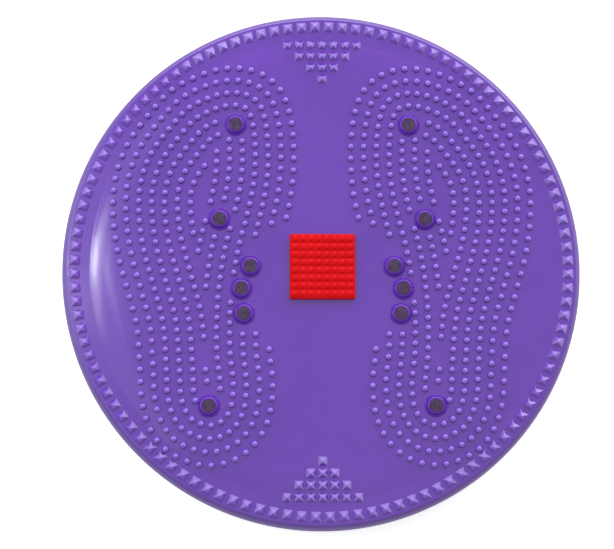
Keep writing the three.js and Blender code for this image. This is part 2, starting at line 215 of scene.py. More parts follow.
# %% [markdown]
# ## Shader arithmetic
# A finish is easier to read as sums than as a web of nodes. A Term wraps one output of a node
# and turns +, -, * and / into Math nodes. Every other node, of a material or of the world,
# comes from one method.

# %% Finishes as expressions
class Term:
    """One socket of a tree of nodes, with arithmetic that adds Math nodes."""

    def __init__(self, nodes, socket):
        self.nodes = nodes
        self.socket = socket

    def _math(self, operation, first, second, clamp=False):
        return self.nodes.node(
            "Math", {"operation": operation, "use_clamp": clamp}, {0: first, 1: second}
        )

    def __add__(self, other):
        return self._math("ADD", self, other)

    def __radd__(self, other):
        return self._math("ADD", other, self)

    def __sub__(self, other):
        return self._math("SUBTRACT", self, other)

    def __rsub__(self, other):
        return self._math("SUBTRACT", other, self)

    def __mul__(self, other):
        return self._math("MULTIPLY", self, other)

    def __rmul__(self, other):
        return self._math("MULTIPLY", other, self)

    def __truediv__(self, other):
        return self._math("DIVIDE", self, other)

    def clamped(self):
        return self._math("ADD", self, 0, clamp=True)

    def rising(self, low, high):
        """0 below low, 1 above high and a smooth step between."""
        return self.nodes.node(
            "MapRange",
            {"interpolation_type": "SMOOTHSTEP"},
            {"Value": self, "From Min": low, "From Max": high},
        )


class Nodes:
    """The nodes of a material or of the world, with one method for any node."""

    def __init__(self, tree):
        self.tree = tree

    def feed(self, socket, value):
        if isinstance(value, Term):
            self.tree.links.new(value.socket, socket)
        else:
            socket.default_value = value

    def node(self, kind, settings=None, sockets=None, output=0):
        made = self.tree.nodes.new("ShaderNode" + kind)
        for key, value in (settings or {}).items():
            setattr(made, key, value)
        for key, value in (sockets or {}).items():
            self.feed(made.inputs[key], value)
        return Term(self, made.outputs[output])

    def seen(self):
        """1 for rays that come from the camera, off a mirroring surface or through a clear one."""
        camera, mirrored, passed = (
            self.node("LightPath", output=f"Is {kind} Ray")
            for kind in ("Camera", "Glossy", "Transmission")
        )
        return (camera + mirrored + passed).clamped()


class Finish(Nodes):
    """A material in the making."""

    def __init__(self, name, **sockets):
        self.material = bpy.data.materials.new(name)
        self.material.use_nodes = True
        super().__init__(self.material.node_tree)
        self.shader = self.tree.nodes["Principled BSDF"]
        self.place = self.node("TexCoord", output="Object")
        self.give(**sockets)

    def give(self, **sockets):
        """Sets or links sockets of the surface shader, named in lower case with underscores."""
        for key, value in sockets.items():
            label = key.replace("_", " ").title().replace("Ior", "IOR")
            self.feed(self.shader.inputs[label], value)

    def height(self):
        return self.node("SeparateXYZ", {}, {0: self.place}, output="Z")

    def radius(self):
        flat = self.node(
            "VectorMath", {"operation": "MULTIPLY"}, {0: self.place, 1: (1, 1, 0)}
        )
        return self.node("VectorMath", {"operation": "LENGTH"}, {0: flat}, output="Value")

    def noise(self, scale, detail=2.0, roughness=0.5, place=None):
        return self.node(
            "TexNoise",
            {},
            {
                "Vector": place or self.place,
                "Scale": scale,
                "Detail": detail,
                "Roughness": roughness,
            },
        )

    def stretched(self, turn, stretch):
        """Places turned about Z and squeezed across one way, for scratches."""
        return self.node(
            "Mapping",
            {"vector_type": "POINT"},
            {"Vector": self.place, "Rotation": (0, 0, turn), "Scale": (1, stretch, 1)},
        )

    def scratches(self, scale, *turns):
        """Thin marks along each turn: crests of long stretched noises, cut up by a wide one."""
        marks = 0
        for turn in turns:
            lines = self.noise(scale, 1, 0.5, self.stretched(turn, 0.05))
            marks = lines.rising(0.64, 0.7) + marks
        return marks * self.noise(35, 2, 0.5).rising(0.42, 0.62)

    def mixed(self, share, first, second):
        """The first colour at a share of 0, the second at 1. Sockets 6, 7 and 2 are colours."""
        return self.node(
            "Mix", {"data_type": "RGBA"}, {0: share, 6: first, 7: second}, output=2
        )

    def bump(self, height, distance):
        return self.node("Bump", {}, {"Height": height, "Distance": distance, "Strength": 1.0})


def plain(red, green, blue):
    """A colour written as it looks on screen, from 0 to 255, as linear light."""
    share = np.array([red, green, blue]) / 255
    linear = np.where(share <= 0.04045, share / 12.92, ((share + 0.055) / 1.055) ** 2.4)
    return (*linear, 1)


# %% [markdown]
# ## Violet plastic
# The top is glossy moulded plastic. It is dyed through, so its colour hardly varies: slow clouds a
# few centimetres wide, then two painted marks. The lip is painted darker, as painted shade, and is
# duller where hands hold it. The tops of the raised points are painted paler, partly as wear where
# feet rub them and partly as a painted highlight on their lit caps, and they are duller there too.
# That paleness grows with the height above the face, so the height has the shoulder's drop added
# to it. A very shallow ripple keeps reflections from looking like glass. The points and the
# collars round the magnets mirror less than the face does, so each of them gets the same plastic
# with a lower gloss.

# %% Violet plastic
def violet_plastic(name, gloss, rubbing):
    """Dyed plastic: gloss is its specular level, rubbing how pale its high points get, as wear and
    as painted highlight.
    """
    finish = Finish(name, specular_ior_level=gloss)
    clouds = finish.noise(22, 3, 0.55)
    fine = finish.noise(160, 3, 0.6)
    tone = finish.mixed(
        (clouds * 0.7 + fine * 0.3).rising(0.32, 0.68),
        plain(84, 30, 154),
        plain(90, 37, 160),
    )
    # Painted shade: this mask darkens the lip's colour, and it also makes the lip rougher where
    # hands hold it.
    held_and_shaded_lip = finish.radius().rising(band_outer - 0.3 * MM, band_outer + 1.7 * MM)
    fallen = ((finish.radius() - field_radius) / shoulder_width).clamped()
    above_face = finish.height() - face_level + fallen * fallen * shoulder_drop
    # Painted highlight and wear: this mask paints the tops of the raised points paler.
    rubbed = above_face.rising(0.4 * MM, 1.9 * MM) * (1 - held_and_shaded_lip)
    finish.give(
        base_color=finish.mixed(
            rubbed * rubbing,
            finish.mixed(held_and_shaded_lip * 0.8, tone, plain(70, 26, 119)),
            plain(154, 121, 224),
        ),
        roughness=(0.1 + fine * 0.06 + held_and_shaded_lip * 0.44 + rubbed * 0.16).clamped(),
        normal=finish.bump(
            finish.noise(240, 2, 0.5) * 0.7 + finish.noise(1500, 2, 0.6) * 0.3, 0.02 * MM
        ),
    )
    return finish.material


violet = violet_plastic("violet_plastic", 0.8, 0)
# The raised points' plastic, with tops painted paler: partly wear, partly painted highlight.
rubbed_violet = violet_plastic("rubbed_violet", 0.6, 0.4)
satin_violet = violet_plastic("satin_violet", 0.25, 0)

# %% [markdown]
# ## Red plastic
# The cap over the pivot is a softer, satin plastic in plain red, with faint clouds in it. Its
# tips are rubbed a little paler.

# %% Red plastic
def red_plastic():
    finish = Finish("red_plastic", specular_ior_level=0.08)
    clouds = finish.noise(70, 3, 0.6)
    fine = finish.noise(900, 2, 0.5)
    top = cap_high[2]
    rubbed = finish.height().rising(top - 0.7 * MM, top)
    tone = finish.mixed(clouds.rising(0.35, 0.65), plain(191, 4, 9), plain(201, 6, 13))
    finish.give(
        base_color=finish.mixed(rubbed * 0.1, tone, plain(226, 34, 38)),
        roughness=(0.4 + fine * 0.14 + rubbed * 0.06).clamped(),
        normal=finish.bump(fine, 0.02 * MM),
    )
    return finish.material


red = red_plastic()

# %% [markdown]
# ## Ferrite, rubber and black plastic
# A pressed ferrite magnet is dull dark grey with a grain like fine sandpaper. Here its colour
# carries a violet tinge, a painted reflection of the violet plastic round it. The base is black
# plastic with an even spark-eroded texture, and the feet are matte rubber with a bloom of dust.

# %% Ferrite, rubber and black plastic
def ferrite():
    finish = Finish("ferrite", specular_ior_level=0.4)
    grain = finish.noise(2600, 3, 0.7)
    patches = finish.noise(420, 2, 0.5)
    # Painted reflection: the violet tinge in these tones stands for the violet plastic's light on
    # the magnet.
    tone = finish.mixed(patches.rising(0.35, 0.65), plain(43, 21, 56), plain(63, 42, 76))
    finish.give(
        base_color=finish.mixed(grain.rising(0.6, 0.72) * 0.5, tone, plain(102, 84, 108)),
        metallic=0.1,
        roughness=(0.42 + grain * 0.2).clamped(),
        normal=finish.bump(grain, 0.04 * MM),
    )
    return finish.material


def black_plastic():
    finish = Finish("black_plastic", specular_ior_level=0.4)
    spark = finish.noise(1400, 3, 0.65)
    clouds = finish.noise(18, 3, 0.5)
    tone = finish.mixed(clouds.rising(0.3, 0.7), plain(33, 31, 38), plain(44, 41, 50))
    finish.give(
        base_color=finish.mixed(
            finish.scratches(420, 1.1, -0.5) * 0.16, tone, plain(92, 90, 98)
        ),
        roughness=(0.46 + spark * 0.2).clamped(),
        normal=finish.bump(spark, 0.05 * MM),
    )
    return finish.material


def black_rubber():
    finish = Finish("black_rubber", specular_ior_level=0.3)
    fine = finish.noise(1100, 3, 0.6)
    bloom = finish.noise(120, 4, 0.6)
    finish.give(
        base_color=finish.mixed(
            bloom.rising(0.45, 0.75) * 0.5, plain(30, 30, 32), plain(70, 69, 70)
        ),
        roughness=(0.78 + fine * 0.15).clamped(),
        normal=finish.bump(fine, 0.05 * MM),
    )
    return finish.material


magnet_finish = ferrite()
base_finish = black_plastic()
rubber_finish = black_rubber()

# %% [markdown]
# ## Steel and the cage
# The balls are polished steel, the bolt, nut, sleeve and washers are zinc plated with a faint
# mottle, and the cage is natural nylon, off-white and a little cloudy.

# %% Steel and nylon
def polished_steel():
    finish = Finish("ball_steel", metallic=1.0)
    haze = finish.noise(700, 2, 0.5)
    finish.give(
        base_color=finish.mixed(haze, plain(196, 198, 201), plain(222, 223, 225)),
        roughness=(0.08 + haze * 0.08).clamped(),
    )
    return finish.material


def zinc_plate():
    finish = Finish("zinc_steel", metallic=1.0)
    mottle = finish.noise(1100, 3, 0.6)
    tone = finish.mixed(mottle.rising(0.3, 0.7), plain(166, 169, 174), plain(188, 191, 195))
    finish.give(
        base_color=finish.mixed(finish.scratches(900, 0.8) * 0.3, tone, plain(226, 228, 230)),
        roughness=(0.26 + mottle * 0.16).clamped(),
        normal=finish.bump(mottle, 0.005 * MM),
    )
    return finish.material


def natural_nylon():
    finish = Finish("cage_nylon", specular_ior_level=0.45)
    clouds = finish.noise(60, 3, 0.5)
    finish.give(
        base_color=finish.mixed(clouds, plain(214, 209, 196), plain(234, 231, 222)),
        roughness=(0.42 + finish.noise(800, 2, 0.5) * 0.16).clamped(),
    )
    return finish.material


ball_finish = polished_steel()
zinc_finish = zinc_plate()
nylon_finish = natural_nylon()

# %% [markdown]
# ## Cutting and joining
# The top and the base are turned shapes with round and square pockets and with straight ribs.
# Blender's exact boolean does this best, because it keeps both solids closed. The tools are
# joined into one mesh first, so each piece is cut once.

# %% Boolean helper
def joined(name, shapes):
    """One object from several (points, quads) pairs."""
    points, quads, start = [], [], 0
    for shape_points, shape_quads in shapes:
        shape_points = shape_points.reshape(-1, 3)
        points.append(shape_points)
        quads.append(shape_quads + start)
        start += len(shape_points)
    return new_piece(name, np.concatenate(points), np.concatenate(quads))


def carve(piece, tool, operation):
    """Joins a tool to a piece or cuts it away, and removes the tool."""
    change = piece.modifiers.new("carve", "BOOLEAN")
    change.object = tool
    change.operation = operation
    change.solver = "EXACT"
    change.use_self = True
    shown = piece.evaluated_get(bpy.context.evaluated_depsgraph_get())
    made = bpy.data.meshes.new_from_object(shown)
    piece.modifiers.clear()
    piece.data = made
    made.shade_smooth()
    made.set_sharp_from_angle(angle=math.radians(sharp_degrees))
    bpy.data.objects.remove(tool)
    print(piece.name, operation.lower(), len(made.polygons), "faces")
    return piece


def post(radius, low, high, steps, x=0.0, y=0.0):
    """A closed upright cylinder as points and quads, with its ends brought to its axis."""
    points = turn_grid([0, radius, radius, 0], [low, low, high, high], steps)
    return points + np.array([x, y, 0]), grid_quads(4, steps)


def bar(start, end, thickness, low, high, turn):
    """A closed upright rib that runs out from the axis between two radii."""
    across = np.array([start, end, end, start])
    along = np.array([-1, -1, 1, 1]) * thickness / 2
    x = across * math.cos(turn) - along * math.sin(turn)
    y = across * math.sin(turn) + along * math.cos(turn)
    points = np.array([np.stack([x, y, np.full(4, level)], -1) for level in (low, high)])
    quads = np.vstack([grid_quads(2, 4), [[3, 2, 1, 0], [4, 5, 6, 7]]])
    return points, quads


def spokes(count, start, end, thickness, low, high):
    """Evenly spaced ribs, the first one half a step past +X."""
    turns = (np.arange(count) + 0.5) * 2 * np.pi / count
    return [bar(start, end, thickness, low, high, turn) for turn in turns]


corner_steps = 7


def square_levels(levels, half, corner):
    """Rounded squares: a corner's middle plus an arc about it, for each [inset, height]."""
    inset, height = np.asarray(levels, float).T
    size = half - inset
    radius = np.clip(np.minimum(corner - inset, size), MM / 100, None)
    radius = np.where(size < MM / 10, size, radius)
    turn = np.linspace(0, np.pi / 2, corner_steps)[None, :] + np.arange(4)[:, None] * np.pi / 2
    sign_x = np.array([1, -1, -1, 1])[:, None]
    sign_y = np.array([1, 1, -1, -1])[:, None]
    middle = (size - radius)[:, None, None]
    x = middle * sign_x + radius[:, None, None] * np.cos(turn)
    y = middle * sign_y + radius[:, None, None] * np.sin(turn)
    z = np.broadcast_to(height[:, None, None], x.shape)
    return np.stack([x, y, z], -1).reshape(len(height), -1, 3)


def square_post(half, corner, low, high):
    """A closed square post with round corners as points and quads."""
    points = square_levels([[half, low], [0, low], [0, high], [half, high]], half, corner)
    return points, grid_quads(4, 4 * corner_steps)


# %% [markdown]
# ## The moulded top
# Its section is one line: out along the underside, round the skirt, up the rounded lip, and
# in over the band of teeth and the gentle shoulder to the flat face. The lip is a quarter
# of an ellipse. The shoulder is a parabola that is steepest where it meets the band, and
# that outer part of it catches the long highlight at the left of the photograph.

# %% Section of the top
def face_height(radius):
    """Flat, then down by the square of the share of the shoulder that lies inside the radius."""
    share = np.clip((radius - field_radius) / shoulder_width, 0, 1)
    return face_level - shoulder_drop * share**2


def groove(side, count=13):
    """The arc of a race groove, from its outer land to its inner one."""
    start = math.degrees(math.asin(land_gap / groove_radius))
    points = arc(race_radius, 0, groove_radius, groove_radius, start, 180 - start, count)
    points[:, 1] = ball_level + side * points[:, 1]
    return points


def top_section():
    edge = 0.7 * MM
    lip_low = skirt_bottom + lip_straight
    inner_wall = disc_radius - skirt_wall
    fillet = 4 * MM
    under_band = band_level - plate_thickness
    shoulder = np.linspace(band_inner, field_radius, 25)
    under_shoulder = np.linspace(field_radius, band_outer, 8)
    face = np.array([0.75, 0.5, 0.25, 0]) * field_radius
    return np.vstack([
        [[0, plate_under], [race_radius - race_half, plate_under]],
        [[race_radius - race_half, ball_level + land_gap]],
        groove(1)[::-1],
        [[race_radius + race_half, ball_level + land_gap]],
        [[race_radius + race_half, plate_under]],
        np.stack([under_shoulder, face_height(under_shoulder) - plate_thickness], -1),
        arc(inner_wall - fillet / 2, under_band - fillet, fillet / 2, fillet, 80, 0, 6),
        arc(inner_wall + edge, skirt_bottom + edge, edge, edge, 180, 270, 4),
        arc(disc_radius - edge, skirt_bottom + edge, edge, edge, 270, 360, 4),
        arc(band_outer, lip_low, lip_width, band_level - lip_low, 0, 90, 18),
        [[band_outer - edge, band_level], [band_inner + edge, band_level]],
        np.stack([shoulder, face_height(shoulder)], -1),
        np.stack([face, np.full(4, face_level)], -1),
    ])


disc_steps = 360
moulded_top = turned("moulded_top", top_section(), disc_steps)
print("section of", len(top_section()), "points")

# %% [markdown]
# Below the face sit sixteen ribs, the hub that turns on the pivot's sleeve, and a square
# pocket for the cap. Above it the magnets sit in round pockets.

# %% Ribs, hub and pockets
ring_steps = 96
hub_bore = 6.3 * MM
hub_wall = 5.5 * MM
hub_radius = hub_bore + hub_wall
close_fit = 0.1 * MM
pocket_half = cap_high[0] + close_fit
cap_corner = 1.2 * MM
pocket_corner = cap_corner + close_fit
pocket_wall = 2 * MM
pocket_floor = 2.5 * MM
pocket_level = cap_low[2]
hub_low = box("pivot_sleeve")[0][2] + loose_fit
rib_count = 8
rib_depth = 4.5 * MM
rib_low = plate_under - rib_depth
rib_thickness = 2 * MM
sunk = 0.5 * MM
cut_high = face_level + 5 * MM
magnet_radius = 5 * MM
magnet_steps = 48
magnet_pocket = magnet_radius + close_fit

magnet_places = middles(f"{side}_magnet_{i}" for side in ("left", "right") for i in range(1, 7))

carve(
    moulded_top,
    joined("top_ribs", [
        square_post(pocket_half + pocket_wall, pocket_corner + pocket_wall,
                    pocket_level - pocket_floor, plate_under + sunk),
        post(hub_radius, hub_low, plate_under, ring_steps),
        *spokes(rib_count, hub_radius - sunk, race_radius - groove_radius, rib_thickness,
                rib_low, plate_under + sunk),
        *spokes(rib_count, race_radius + groove_radius, band_outer, rib_thickness, rib_low,
                plate_under - 2 * sunk),
    ]),
    "UNION",
)
carve(
    moulded_top,
    joined("top_pockets", [
        square_post(pocket_half, pocket_corner, pocket_level, cut_high),
        post(hub_bore, hub_low - MM, pocket_level + MM, ring_steps),
        *[post(magnet_pocket, magnet_low[2], cut_high, magnet_steps, x, y)
          for x, y in magnet_places.values()],
    ]),
    "DIFFERENCE",
)
finish_piece(moulded_top, violet, "turntable", "violet_plastic", "top_plate")

# %% [markdown]
# ## Raised points
# Nubs, teeth and pyramids are the same small shape with other numbers. Seen from above it is
# a superellipse, round at an exponent of 2 and square at a high one. Its height falls from
# the tip as (1 - s ** tip) ** flare, where s runs from 0 at the tip to 1 at the foot: the
# first exponent rounds the tip, the second lets the foot flow into the face.

# %% Points that stand on the face
point_root = 0.6 * MM
point_sharp = 40


def raised_points(name, places, turns, half, height, squareness, steps, shares, tip, flare):
    """All points of one kind as one closed mesh each, placed and turned as whole arrays."""
    angle = np.linspace(0, 2 * np.pi, steps, endpoint=False)
    outline = (np.abs(np.cos(angle)) ** squareness + np.abs(np.sin(angle)) ** squareness)
    outline = outline ** (-1 / squareness)
    share = np.array([0, 1, *shares, 0])
    rise = height * (1 - share**tip) ** flare
    rise[:2] = -point_root
    x = half[0] * share[:, None] * outline * np.cos(angle)
    y = half[1] * share[:, None] * outline * np.sin(angle)
    z = np.broadcast_to(rise[:, None], (len(turns), *x.shape))
    cos, sin = np.cos(turns)[:, None, None], np.sin(turns)[:, None, None]
    points = np.stack([x * cos - y * sin, x * sin + y * cos, z], -1)
    points = points + np.asarray(places)[:, None, None, :]
    one = grid_quads(len(share), steps)
    starts = np.arange(len(turns))[:, None, None] * (len(share) * steps)
    return new_piece(name, points, (one[None] + starts).reshape(-1, 4), point_sharp)


def on_face(x, y):
    """Places on the face at its height there."""
    return np.stack([x, y, face_height(np.hypot(x, y))], -1)


# %% [markdown]
# ## The foot fields
# Each field is a set of rows that run parallel to the outline of a sole, like contour lines, with
# single nubs in the gaps left in the middle. The outline is a smooth closed curve through given
# points. A row is the outline moved inwards, kept where it is still that far from every part of
# the outline.

# %% Outline of a sole
sole_length = 228.8 * MM
sole_width = 103.6 * MM
sole_spread = 136.6 * MM
sole_forward = 1.9 * MM
sole_shares = np.array([
    (0.39, 1), (0.66, 0.965), (0.86, 0.88), (0.965, 0.74), (1, 0.56), (0.975, 0.37),
    (0.9, 0.2), (0.8, 0.02), (0.735, -0.2), (0.73, -0.42), (0.77, -0.61), (0.72, -0.78),
    (0.57, -0.9), (0.35, -0.973), (0.08, -1), (-0.19, -0.973), (-0.43, -0.905), (-0.58, -0.8),
    (-0.655, -0.68), (-0.675, -0.54), (-0.72, -0.31), (-0.81, -0.16), (-0.94, 0.055),
    (-1, 0.26), (-0.985, 0.42), (-0.86, 0.6), (-0.57, 0.79), (-0.36, 0.89), (-0.13, 0.95),
    (0.12, 0.99),
])
outline_step = 0.8 * MM


def lengths_along(points):
    """Distance travelled from the first point to each of the others."""
    steps = np.linalg.norm(np.diff(points, axis=0), axis=1)
    return np.concatenate([[0], np.cumsum(steps)])


def at_lengths(points, wanted):
    """Points at given distances along a line of points."""
    reached = lengths_along(points)
    return np.stack([np.interp(wanted, reached, points[:, k]) for k in (0, 1)], -1)


def smooth_loop(points, step):
    """A closed curve through the points, each stretch a cubic with slopes from its neighbours.

    The slopes weigh each neighbour by the square root of its distance, which keeps the curve
    from looping where points lie close together."""
    before, start, end, after = (np.roll(points, shift, axis=0) for shift in (1, 0, -1, -2))

    def gap(a, b):
        return np.sqrt(np.linalg.norm(b - a, axis=1))[:, None]

    first, middle, last = gap(before, start), gap(start, end), gap(end, after)
    straight = (end - start) / middle
    slope_in = (start - before) / first - (end - before) / (first + middle) + straight
    slope_out = straight - (after - start) / (middle + last) + (after - end) / last
    slope_in, slope_out = slope_in * middle, slope_out * middle
    square = 3 * (end - start) - 2 * slope_in - slope_out
    cube = 2 * (start - end) + slope_in + slope_out
    t = np.linspace(0, 1, 60, endpoint=False)[None, :, None]
    curve = start[:, None] + t * (slope_in[:, None] + t * (square[:, None] + t * cube[:, None]))
    curve = np.vstack([curve.reshape(-1, 2), curve[0, :1]])
    total = lengths_along(curve)[-1]
    count = round(total / step)
    return at_lengths(curve, np.arange(count) * total / count)


outline = smooth_loop(sole_shares * [sole_width / 2, sole_length / 2], outline_step)
print("outline of", len(outline), "points,", round(lengths_along(outline)[-1] / MM), "mm round")

# %% [markdown]
# Each row gets its nubs at an even step, a little closer in the inner rows. A nub that would
# stand too near an earlier one is left out, and so is one that would fall on a magnet or in
# the oval under the foot's arch, which bears no weight.

# %% Rows of nubs
row_pitch = 7.4 * MM
row_steps = np.array([7.0, 6.5, 5.8]) * MM
nub_least_step = 4.7 * MM
fill_least_step = 5.4 * MM
magnet_step = 7.8 * MM
arch_middle = (0.971, -0.104)
arch_reach = (0.598, 0.297)


def nearest(points, others):
    """Distance from each point to the nearest of the others."""
    gaps = points[:, None] - np.asarray(others)[None]
    return np.sqrt((gaps**2).sum(-1)).min(1)


def inset_runs(inset):
    """The unbroken stretches of the line that lies a set distance inside the outline."""
    along = np.roll(outline, -1, axis=0) - np.roll(outline, 1, axis=0)
    inward = np.stack([along[:, 1], -along[:, 0]], -1)
    inward /= np.linalg.norm(inward, axis=1)[:, None]
    line = outline + inward * inset
    line = line[nearest(line, outline) > inset - outline_step / 4]
    if len(line) < 2:
        return []
    jump = 4 * outline_step
    breaks = np.where(np.linalg.norm(np.diff(line, axis=0), axis=1) > jump)[0] + 1
    runs = np.split(line, breaks)
    if np.linalg.norm(line[0] - line[-1]) < jump:
        if len(runs) > 1:
            runs[0] = np.vstack([runs.pop(), runs[0]])
        else:
            runs[0] = np.vstack([line, line[:1]])
    return runs


def sole_nubs(magnets):
    """Nubs of one sole about its own middle: rows first, then single nubs in the gaps."""
    kept = np.empty((0, 2))
    rows = int(sole_width / 2 / row_pitch) + 1
    plan = [(k * row_pitch, row_steps[min(k, 2)], nub_least_step) for k in range(rows)]
    plan += [((k + 0.5) * row_pitch, outline_step, fill_least_step) for k in range(2, rows)]
    for inset, step, least in plan:
        for run in inset_runs(inset):
            total = lengths_along(run)[-1]
            count = max(1, round(total / step))
            for place in at_lengths(run, np.arange(count) * total / count):
                if not len(kept) or nearest(place[None], kept)[0] > least:
                    kept = np.vstack([kept, place])
    off_arch = (kept / [sole_width / 2, sole_length / 2] - arch_middle) / arch_reach
    allowed = (np.hypot(*off_arch.T) > 1) & (nearest(kept, magnets) > magnet_step)
    return kept[allowed]


left_middle = np.array([-sole_spread / 2, sole_forward])
left_magnets = np.array([magnet_places[f"left_magnet_{i}"] for i in range(1, 7)])
nub_places = sole_nubs(left_magnets - left_middle) + left_middle
print(len(nub_places), "nubs on each sole")

# %% [markdown]
# The right field mirrors the left one, so its nubs stand at the same places with X turned
# round. Teeth ring the rim, and an arrowhead of square pyramids points in from toe and heel.

# %% Nubs, teeth and arrowheads
nub_radius = 2.1 * MM
nub_height = 2.2 * MM
pyramid_height = nub_height * 0.92
dome = dict(squareness=2, steps=12, shares=(0.95, 0.78, 0.4), tip=1.4, flare=0.45)
pyramid = dict(squareness=16, steps=8, shares=(0.98, 0.6, 0.25), tip=1.08, flare=1)
for side, mirror in (("left", 1), ("right", -1)):
    places = on_face(nub_places[:, 0] * mirror, nub_places[:, 1])
    nubs = raised_points(
        f"{side}_foot_nubs", places, np.zeros(len(places)), (nub_radius, nub_radius),
        nub_height, **dome,
    )
    finish_piece(nubs, rubbed_violet, "turntable", "violet_plastic")

tooth_count = 112
tooth_half = (3.1 * MM, 2.9 * MM)
tooth_turns = (np.arange(tooth_count) + 0.5) * 2 * np.pi / tooth_count
tooth_circle = band_outer - tooth_inset
tooth_places = np.stack([
    tooth_circle * np.cos(tooth_turns),
    tooth_circle * np.sin(tooth_turns),
    np.full(tooth_count, band_level),
], -1)
teeth = raised_points(
    "rim_teeth", tooth_places, tooth_turns, tooth_half, pyramid_height, **pyramid
)
finish_piece(teeth, rubbed_violet, "turntable", "violet_plastic")

arrow_reach = 130.3 * MM
arrow_pitch = 6.7 * MM
arrow_half = 2.65 * MM
arrow = np.array([
    ((i - (count - 1) / 2) * arrow_pitch, end * (arrow_reach - row * arrow_pitch))
    for end in (1, -1)
    for row, count in enumerate((7, 5, 3, 1))
    for i in range(count)
])
pyramids = raised_points(
    "arrow_pyramids", on_face(*arrow.T), np.zeros(len(arrow)), (arrow_half, arrow_half),
    pyramid_height, **pyramid,
)
finish_piece(pyramids, rubbed_violet, "turntable", "violet_plastic")

# %% [markdown]
# ## Magnets and their collars
# Each magnet is a pressed disc with a broad round shoulder. A low ring is moulded round it,
# and a thin skin of the violet plastic creeps up the shoulder and holds the disc in, so a
# smaller dark circle shows from above. Ring and skin share one closed section.

# %% Magnets and collars
shoulder, fall = 1.7 * MM, 1.3 * MM


def round_shoulder(extra, rise, start, end, count):
    """The magnet's shoulder moved out by an extra width and up by an extra rise."""
    return arc(
        magnet_radius - shoulder, magnet_high[2] - fall, shoulder + extra, fall + rise,
        start, end, count,
    )


def magnet_section():
    chamfer = 0.5 * MM
    low, high = magnet_low[2], magnet_high[2]
    return [
        [0, low], [magnet_radius - chamfer, low], [magnet_radius, low + chamfer],
        *round_shoulder(0, 0, 0, 90, 8), [magnet_radius - 1.5 * shoulder, high], [0, high],
    ]


for name, (x, y) in magnet_places.items():
    magnet = turned(f"{name}_disc", magnet_section(), magnet_steps, (x, y, 0))
    finish_piece(magnet, magnet_finish, "turntable", "ferrite", name)

collar_wall = 1.5 * MM
collar_height = 0.6 * MM
skin_width, skin_rise, skin_gap = 0.3 * MM, 0.15 * MM, 0.05 * MM
skin_end = 68
collar_section = np.vstack([
    [[magnet_pocket, face_level - sunk], [magnet_pocket + collar_wall, face_level - sunk]],
    arc(magnet_pocket + collar_wall / 2, face_level, collar_wall / 2, collar_height, 0, 115, 8),
    round_shoulder(skin_width, skin_rise, 5, skin_end, 8),
    round_shoulder(skin_gap, skin_gap, skin_end, 0, 8),
    [[magnet_pocket - skin_gap, face_level]],
])
collars = joined("magnet_collars", [
    (
        turn_grid(*collar_section.T, magnet_steps) + np.array([x, y, 0]),
        grid_quads(len(collar_section), magnet_steps, loop=True),
    )
    for x, y in magnet_places.values()
])
finish_piece(collars, satin_violet, "turntable", "violet_plastic")

# %% [markdown]
# ## The cap over the pivot
# The cap is a square box with round corners and edges, open below. Like the tool that cut its
# pocket, it is made as a turned shape is, but its levels are rounded squares: each level is
# drawn in from the outer square by its inset, and its corners tighten with it.

# %% Cap
cap_half = (cap_high[0] - cap_low[0]) / 2
stud_height = 0.9 * MM
cap_face = cap_high[2] - stud_height
cap_roof = 1.7 * MM
cap_ceiling = cap_face - cap_roof
cap_wall = 2 * MM
cap_edge = 0.7 * MM
cap_foot_edge = 0.3 * MM


def cap_levels():
    round_edge = arc(cap_edge, cap_face - cap_edge, cap_edge, cap_edge, 180, 90, 7)
    return np.vstack([
        [[cap_half, cap_ceiling], [cap_wall, cap_ceiling], [cap_wall, pocket_level]],
        [[cap_foot_edge, pocket_level], [0, pocket_level + cap_foot_edge]],
        round_edge,
        [[cap_half, cap_face]],
    ])


cap = new_piece(
    "square_cap",
    square_levels(cap_levels(), cap_half, cap_corner),
    grid_quads(len(cap_levels()), 4 * corner_steps),
)
finish_piece(cap, red, "turntable", "red_plastic", "pivot_cap")

stud_rows = 8
stud_pitch = 2 * (cap_half - cap_edge) / stud_rows
stud_line = (np.arange(stud_rows) - (stud_rows - 1) / 2) * stud_pitch
stud_x, stud_y = (grid.ravel() for grid in np.meshgrid(stud_line, stud_line))
stud_places = np.stack([stud_x, stud_y, np.full(stud_rows**2, cap_face)], -1)
stud_half = stud_pitch * 0.49
stud = pyramid | dict(tip=1.4)
studs = raised_points(
    "cap_studs", stud_places, np.zeros(stud_rows**2), (stud_half, stud_half), stud_height, **stud
)
finish_piece(studs, red, "turntable", "red_plastic")

# %% [markdown]
# ## The base
# The base is a shallow tray that nobody sees from above. Turned over, it shows the rubber
# feet in their seats, the bolt's head in its cup, and the hollow below the race, which is
# braced by thin ribs so that it doesn't sink as it cools.

# %% Base
base_radius = base_high[0]
base_floor = 2.5 * MM
base_wall = 2.5 * MM
foot_stand = base_low[2]
base_top = foot_stand + base_floor
base_rim = foot_stand + 8 * MM
channel_wall = 3 * MM
cup_ceiling = box("bottom_washer")[1][2]
hub_level = box("pivot_sleeve")[0][2]
cup_radius = 16 * MM
cup_wall = 2.5 * MM
tray_inner, tray_outer, tray_slope = 46 * MM, 60 * MM, 0.4 * MM
brace_count = 24
brace_thickness = 1.4 * MM
brace_half = race_half - channel_wall + MM
brace_low = foot_stand + 0.6 * MM
brace_high = ball_level - groove_radius - channel_wall + MM
bolt_radius = 4 * MM
bolt_hole = bolt_radius + loose_fit
seat_steps = 64
pad_places = middles(f"rubber_foot_{i}" for i in range(1, 7))
pad_radius = (box("rubber_foot_1")[1][0] - box("rubber_foot_1")[0][0]) / 2


